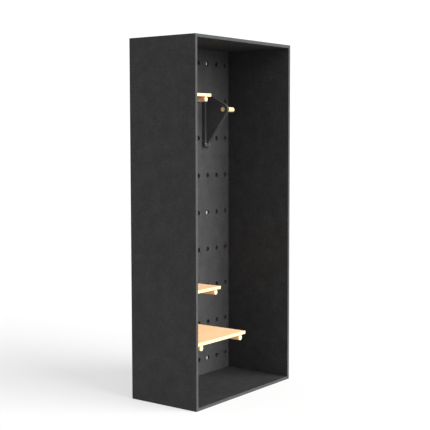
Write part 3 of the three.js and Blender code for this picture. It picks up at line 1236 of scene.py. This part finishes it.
def thread_ridge(core, crest, pitch, start, end):
    """A closed helical ridge round the Z axis, from one height to another."""
    base = core - THREAD_SUNK
    centre = Vector(((base + crest) / 2, 0, start + THREAD_ROOT / 2 * pitch))
    bpy.ops.object.select_all(action="DESELECT")
    bpy.ops.mesh.primitive_plane_add(size=1, location=centre, rotation=(math.pi / 2, 0, 0))
    ridge = take_name("thread")
    bpy.ops.object.mode_set(mode="EDIT")
    bpy.ops.mesh.select_all(action="SELECT")
    bpy.ops.transform.resize(
        value=(crest - base, 1, THREAD_ROOT * pitch), center_override=centre
    )
    pick(ridge, "VERT", lambda vertex: vertex.co.x > centre.x)
    bpy.ops.transform.resize(value=(1, 1, THREAD_CREST / THREAD_ROOT), center_override=centre)
    bpy.ops.mesh.select_all(action="SELECT")
    bpy.ops.mesh.delete(type="ONLY_FACE")
    bpy.ops.object.mode_set(mode="OBJECT")
    use_modifier(
        ridge,
        "SCREW",
        axis="Z",
        screw_offset=pitch,
        iterations=max(1, int((end - start) / pitch) - 1),
        steps=THREAD_STEPS,
        render_steps=THREAD_STEPS,
        use_smooth_shade=False,
    )
    choose(ridge)
    bpy.ops.object.mode_set(mode="EDIT")
    bpy.ops.mesh.select_all(action="SELECT")
    bpy.ops.mesh.fill_holes(sides=4)
    bpy.ops.object.mode_set(mode="OBJECT")
    clean(ridge)
    return ridge


RECESS_TAPER = (0.45, 0.7, 1)  # length and thickness of a blade's tip, as parts of its mouth's


def cross_recess(piece, width, depth, blade):
    """Cuts a tapered cross recess down the Z axis into the end of a body that starts at zero."""
    for quarter in range(2):
        low = Vector((-width / 2, -blade / 2, -BORE_OVERSHOOT))
        high = Vector((width / 2, blade / 2, depth))
        tool = block("recess", low, high)
        bpy.ops.object.mode_set(mode="EDIT")
        pick(tool, "FACE", lambda face: face.normal.z > 0.9)
        bpy.ops.transform.resize(value=RECESS_TAPER, center_override=(0, 0, depth))
        bpy.ops.mesh.select_all(action="SELECT")
        bpy.ops.transform.rotate(
            value=quarter * math.pi / 2, orient_axis="Z", center_override=(0, 0, 0)
        )
        bpy.ops.object.mode_set(mode="OBJECT")
        combine(piece, [tool])


SMOOTH_SHANK = 0.38  # part of a wood screw's length without a thread
SCREW_TIP = 4 * MM
SCREW_RECESS_DEPTH = 1.7 * MM


def wood_screw(name, head, length, fittings):
    """A countersunk wood screw up the Z axis, its head's face at zero."""
    pitch = fittings.thread_pitch
    core = SCREW_SHANK - fittings.thread_depth
    smooth_end = length * SMOOTH_SHANK
    tip_start = length - SCREW_TIP
    profile = [
        (head - 0.25 * MM, 0),
        (head, 0.15 * MM),
        (head, 0.35 * MM),
        (SCREW_SHANK * 0.9, SCREW_CONE + 0.2 * MM),
        (SCREW_SHANK * 0.84, smooth_end),
        (core, smooth_end + 0.5 * MM),
        (core, tip_start),
        (0.2 * MM, length),
    ]
    piece = turn(name, profile, sides=40)
    ridge = thread_ridge(core, SCREW_SHANK, pitch, smooth_end - 0.5 * pitch, tip_start + pitch)
    combine(piece, [ridge], "UNION")
    cross_recess(piece, head * 1.15, SCREW_RECESS_DEPTH, fittings.recess_blade)
    smooth(piece)
    return piece


class RACK_OT_bracket_screws(bpy.types.Operator):
    """Builds the screws of the wheel bracket: four through the plate and two into the gusset"""

    bl_idname = "rack.bracket_screws"
    bl_label = "Bracket screws"

    def execute(self, context):
        fittings = context.scene.rack_fittings
        kinds = {
            "plate_screw": ([f"{hand}_{height}" for hand in HANDS for height in HEIGHTS], 1),
            "gusset_screw": (list(HEIGHTS), -1),
        }
        for kind, (names, way) in kinds.items():
            size = reach(f"{kind}_{names[0]}")
            model = wood_screw(kind, size.x / 2, size.y, fittings)
            for name in names:
                node = f"{kind}_{name}"
                low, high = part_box(node)
                centre = middle(node)
                start = (centre.x, low.y if way > 0 else high.y, centre.z)
                piece = copy_of(model, f"{node}_finished")
                stand(piece, start, (0, way, 0))
                settle(piece, node, "zinc_steel", dull_steel(context.scene))
            bpy.data.objects.remove(model)
        return {"FINISHED"}


def disc(name, radius, height, rim):
    """A disc up the Z axis from zero, with chamfered rims."""
    profile = [(radius - rim, 0), (radius, rim), (radius, height - rim), (radius - rim, height)]
    return turn(name, profile, sides=64)


WASHER_RIM = 0.35 * MM
WASHER_HOLE_FLARE = 0.2 * MM
HEAD_HEIGHT = 3.5 * MM
DOME_HEIGHT = 0.62 * HEAD_HEIGHT  # of the whole dome, whose middle is cut off flat
DOME_ANGLES = (40, 55, 68, 80, 90)  # from the dome's middle out to its rim, in degrees
DOME_RECESS_DEPTH = 1.9 * MM


def domed_screw(name, head, length, fittings):
    """A screw with a domed head up the Z axis from zero, cut off square at its end."""
    core = WALL_SHANK_RADIUS - fittings.thread_depth
    angles = [math.radians(angle) for angle in DOME_ANGLES]
    flat = math.cos(angles[0])
    profile = [(head * math.sin(a), DOME_HEIGHT * (flat - math.cos(a))) for a in angles]
    profile += [
        (head, HEAD_HEIGHT),
        (WALL_SHANK_RADIUS * 0.86, HEAD_HEIGHT),
        (core, HEAD_HEIGHT + 0.6 * MM),
        (core, length),
    ]
    piece = turn(name, profile, sides=48)
    cross_recess(piece, head * 0.95, DOME_RECESS_DEPTH, fittings.recess_blade)
    smooth(piece)
    return piece


class RACK_OT_wall_fixings(bpy.types.Operator):
    """Builds the six wall screws and their washers"""

    bl_idname = "rack.wall_fixings"
    bl_label = "Wall fixings"

    def execute(self, context):
        scene = context.scene
        washer_size = reach("wall_washer_left_low")
        washer = disc("wall_washer", washer_size.x / 2, washer_size.y, WASHER_RIM)
        hole = WALL_SHANK_RADIUS + scene.rack_boards.clearance
        run = (0, 0, 1)
        cutter = bore((0, 0, 0), run, hole, washer_size.y, WASHER_HOLE_FLARE, through=True)
        combine(washer, [cutter])
        smooth(washer)
        screw_size = reach("wall_screw_left_low")
        screw = domed_screw("wall_screw", screw_size.x / 2, screw_size.y, scene.rack_fittings)

        for hand in HANDS:
            for row in WALL_ROWS:
                for kind, model in (("wall_washer", washer), ("wall_screw", screw)):
                    node = f"{kind}_{hand}_{row}"
                    centre = middle(node)
                    piece = copy_of(model, f"{node}_finished")
                    stand(piece, (centre.x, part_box(node)[0].y, centre.z), (0, 1, 0))
                    settle(piece, node, "zinc_steel", zinc(scene))
        bpy.data.objects.remove(washer)
        bpy.data.objects.remove(screw)
        return {"FINISHED"}


CAM_RIM = 0.5 * MM
CAM_SLOT_DEPTH = 4.5 * MM
CAM_SLOT_WIDTH = 2.4 * MM
BOLT_THREAD_LENGTH = 11 * MM
BOLT_THREAD_PITCH = 1.8 * MM
BOLT_NECK_RADIUS = 2 * MM
BOLT_NECK_START = 8 * MM  # from the head's end
BOLT_NECK_END = 3 * MM


def cam_disc(clearance):
    """A cam up the Z axis from zero, its slotted face at zero and its pocket towards +X."""
    sample = "top_right_front"
    cam_low, cam_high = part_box(f"cam_{sample}")
    radius = (cam_high.x - cam_low.x) / 2
    cam = disc("cam", radius, cam_high.z - cam_low.z, CAM_RIM)
    cross_recess(cam, radius * 1.2, CAM_SLOT_DEPTH, CAM_SLOT_WIDTH)
    pocket_radius = reach(f"cam_bolt_{sample}").z / 2 + clearance
    pocket_height = cam_high.z - middle(f"cam_bolt_{sample}").z
    pocket_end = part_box(f"cam_bolt_{sample}")[0].x - middle(f"cam_{sample}").x - clearance
    start = (radius, 0, pocket_height)
    pocket = bore(start, (-1, 0, 0), pocket_radius, radius - pocket_end, sides=32)
    combine(cam, [pocket])
    smooth(cam)
    return cam


def cam_bolt(radius, length, fittings):
    """A cam bolt up the Z axis from zero: thread, collar, neck and head."""
    neck_start = length - BOLT_NECK_START
    neck_end = length - BOLT_NECK_END
    core = BOLT_THREAD_RADIUS - fittings.thread_depth
    profile = [
        (core * 0.8, 0),
        (core, 0.6 * MM),
        (core, BOLT_THREAD_LENGTH),
        (radius - 0.3 * MM, BOLT_THREAD_LENGTH),
        (radius, BOLT_THREAD_LENGTH + 0.3 * MM),
        (radius, neck_start - 0.3 * MM),
        (BOLT_NECK_RADIUS, neck_start + 0.3 * MM),
        (BOLT_NECK_RADIUS, neck_end - 0.2 * MM),
        (radius - 0.2 * MM, neck_end),
        (radius, neck_end + 0.3 * MM),
        (radius, length - 0.5 * MM),
        (radius - 0.6 * MM, length),
    ]
    bolt = turn("cam_bolt", profile, sides=40)
    crest = BOLT_THREAD_RADIUS
    ridge = thread_ridge(core, crest, BOLT_THREAD_PITCH, 0.7 * MM, BOLT_THREAD_LENGTH)
    combine(bolt, [ridge], "UNION")
    smooth(bolt)
    return bolt


class RACK_OT_corner_fittings(bpy.types.Operator):
    """Builds the eight cams with their cross slots, and the eight bolts that they pull in"""

    bl_idname = "rack.corner_fittings"
    bl_label = "Corner fittings"

    def execute(self, context):
        scene = context.scene
        cam = cam_disc(scene.rack_boards.clearance)
        bolt_size = reach("cam_bolt_top_right_front")
        bolt = cam_bolt(bolt_size.z / 2, bolt_size.x, scene.rack_fittings)

        for name in fitting_names():
            node = f"cam_{name}"
            low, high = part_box(node)
            on_left = "left" in name
            on_top = "top" in name
            piece = copy_of(cam, f"{node}_finished")
            if on_left:
                piece.rotation_euler = (0, 0, math.pi)
                bpy.ops.object.transform_apply(location=True, rotation=True, scale=True)
            if on_top:
                piece.rotation_euler = (math.pi, 0, 0)
            piece.location = (middle(node).x, middle(node).y, high.z if on_top else low.z)
            bpy.ops.object.transform_apply(location=True, rotation=True, scale=True)
            settle(piece, node, "zinc_steel", zinc(scene))

            node = f"cam_bolt_{name}"
            low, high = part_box(node)
            start = (low.x if on_left else high.x, middle(node).y, middle(node).z)
            piece = copy_of(bolt, f"{node}_finished")
            stand(piece, start, (1 if on_left else -1, 0, 0))
            settle(piece, node, "zinc_steel", zinc(scene))
        bpy.data.objects.remove(cam)
        bpy.data.objects.remove(bolt)
        return {"FINISHED"}


# ---------- operator: the stage ----------


def studio_world(sky_light, backdrop):
    """Even light from all round, and a plain backdrop that the camera sees in its place."""
    world = bpy.data.worlds.new("studio")
    world.use_nodes = True
    tree = world.node_tree
    tree.nodes.clear()
    path = tree.nodes.new("ShaderNodeLightPath")
    mix = tree.nodes.new("ShaderNodeMixShader")
    output = tree.nodes.new("ShaderNodeOutputWorld")
    tree.links.new(path.outputs["Is Camera Ray"], mix.inputs["Fac"])
    for socket, strength in ((1, sky_light), (2, backdrop)):
        background = tree.nodes.new("ShaderNodeBackground")
        background.inputs["Color"].default_value = (1, 1, 1, 1)
        background.inputs["Strength"].default_value = strength
        tree.links.new(background.outputs["Background"], mix.inputs[socket])
    tree.links.new(mix.outputs["Shader"], output.inputs["Surface"])
    return world


class RACK_OT_stage(bpy.types.Operator):
    """Builds the pale floor, the soft light and the camera"""

    bl_idname = "rack.stage"
    bl_label = "Stage"

    def execute(self, context):
        scene = context.scene
        stage = scene.rack_stage
        scene.view_settings.view_transform = "Standard"

        bpy.ops.object.select_all(action="DESELECT")
        bpy.ops.mesh.primitive_plane_add(size=stage.floor_size)
        floor = take_name("floor")
        paint = finish_named("floor_paint", floor_paint, stage.floor_colour, stage.floor_glow)
        floor.data.materials.append(paint)

        soft_lights = (
            ("key_light", stage.key_light, stage.key_azimuth),
            ("fill_light", stage.fill_light, -stage.fill_azimuth),
        )
        for name, strength, azimuth in soft_lights:
            bpy.ops.object.light_add(type="SUN")
            light = bpy.context.active_object
            light.name = name
            light.data.energy = strength
            light.data.angle = stage.key_softness
            light.rotation_euler = (math.pi / 2 - stage.key_elevation, 0, azimuth)

        scene.world = studio_world(stage.sky_light, stage.backdrop)

        bpy.ops.object.camera_add(location=stage.camera_place)
        camera = bpy.context.active_object
        camera.name = "camera"
        camera.rotation_euler = (
            math.pi / 2 - stage.camera_dip,
            stage.camera_roll,
            -stage.camera_heading,
        )
        camera.data.lens = stage.camera_lens
        camera.data.clip_end = 2 * stage.floor_size
        scene.camera = camera
        return {"FINISHED"}


# ---------- panel and registration ----------


OPERATORS = (
    RACK_OT_stage,
    RACK_OT_side_boards,
    RACK_OT_top_and_bottom,
    RACK_OT_peg_panel,
    RACK_OT_back_sheet,
    RACK_OT_bracket_plate,
    RACK_OT_bracket_gusset,
    RACK_OT_shelves,
    RACK_OT_pegs,
    RACK_OT_panel_dowels,
    RACK_OT_bracket_screws,
    RACK_OT_wall_fixings,
    RACK_OT_corner_fittings,
)


class RACK_PT_sidebar(bpy.types.Panel):
    """Lists the steps that build the rack"""

    bl_idname = "RACK_PT_sidebar"
    bl_label = "Bicycle wall rack"
    bl_space_type = "VIEW_3D"
    bl_region_type = "UI"
    bl_category = "Rack"

    def draw(self, context):
        for settings in ("rack_boards", "rack_wood", "rack_fittings", "rack_stage"):
            group = getattr(context.scene, settings)
            box = self.layout.box()
            for name in group.bl_rna.properties.keys():
                if name not in ("rna_type", "name"):
                    box.prop(group, name)
        for operator in OPERATORS:
            self.layout.operator(operator.bl_idname)


SETTINGS = {
    "rack_boards": RackBoardSettings,
    "rack_wood": RackWoodSettings,
    "rack_fittings": RackFittingSettings,
    "rack_stage": RackStageSettings,
}


def register():
    for name, group in SETTINGS.items():
        bpy.utils.register_class(group)
        setattr(bpy.types.Scene, name, bpy.props.PointerProperty(type=group))
    for operator in OPERATORS:
        bpy.utils.register_class(operator)
    bpy.utils.register_class(RACK_PT_sidebar)


def unregister():
    bpy.utils.unregister_class(RACK_PT_sidebar)
    for operator in reversed(OPERATORS):
        bpy.utils.unregister_class(operator)
    for name, group in SETTINGS.items():
        delattr(bpy.types.Scene, name)
        bpy.utils.unregister_class(group)


def main():
    """Builds everything."""
    register()
    bpy.ops.rack.stage()
    bpy.ops.rack.side_boards()
    bpy.ops.rack.top_and_bottom()
    bpy.ops.rack.peg_panel()
    bpy.ops.rack.back_sheet()
    bpy.ops.rack.bracket_plate()
    bpy.ops.rack.bracket_gusset()
    bpy.ops.rack.shelves()
    bpy.ops.rack.pegs()
    bpy.ops.rack.panel_dowels()
    bpy.ops.rack.bracket_screws()
    bpy.ops.rack.wall_fixings()
    bpy.ops.rack.corner_fittings()


if __name__ == "__main__":
    main()
